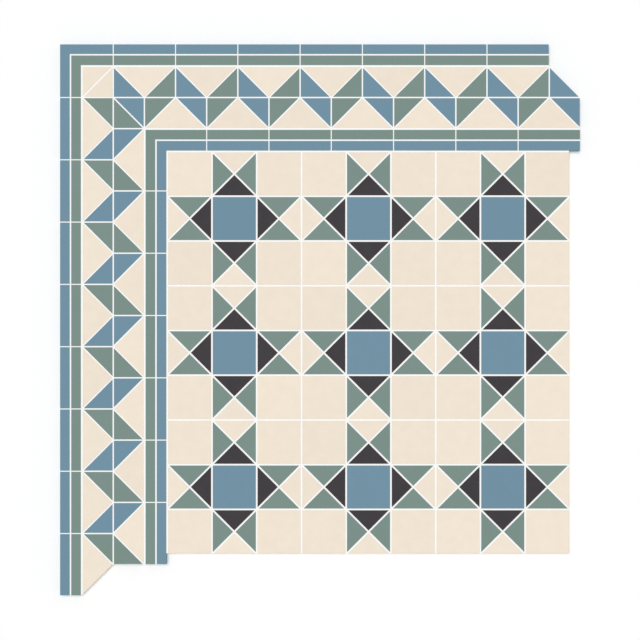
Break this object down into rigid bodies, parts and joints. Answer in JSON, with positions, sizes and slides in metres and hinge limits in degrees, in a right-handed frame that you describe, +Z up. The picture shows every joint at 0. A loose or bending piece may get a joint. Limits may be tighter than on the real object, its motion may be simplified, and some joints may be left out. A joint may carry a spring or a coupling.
{
  "type": "victorian mosaic tile panel",
  "caption": "Flat panel of geometric floor tiles: a field of star blocks with a folded-ribbon border that turns one corner, in cream, blue, green and charcoal with white grout.",
  "frame": {"origin": "on the bedding face, under the middle of the panel's outline", "axes": "+Z up through the tile faces, +Y towards the top border, +X along it away from the corner"},
  "size_m": [0.6042, 0.6404, 0.009],
  "materials": {
    "cream_tile": "unglazed, satin",
    "blue_tile": "unglazed, satin",
    "green_tile": "unglazed, satin",
    "charcoal_tile": "unglazed, satin",
    "white_grout": "fine, matt"
  },
  "bodies": {
    "root": {"field_cream_squares": "cream_tile", "field_blue_squares": "blue_tile", "field_charcoal_triangles": "charcoal_tile", "field_green_triangles": "green_tile", "field_cream_triangles": "cream_tile", "ribbon_blue_triangles": "blue_tile", "ribbon_green_triangles": "green_tile", "ribbon_cream_triangles": "cream_tile", "ribbon_corner_triangles": "cream_tile", "outer_blue_strips": "blue_tile", "outer_green_strips": "green_tile", "outer_blue_corner": "blue_tile", "outer_green_corner": "green_tile", "inner_green_strips": "green_tile", "inner_blue_strips": "blue_tile", "inner_green_corner": "green_tile", "inner_blue_corner": "blue_tile", "white_grout": "white_grout"}
  },
  "joints": []
}
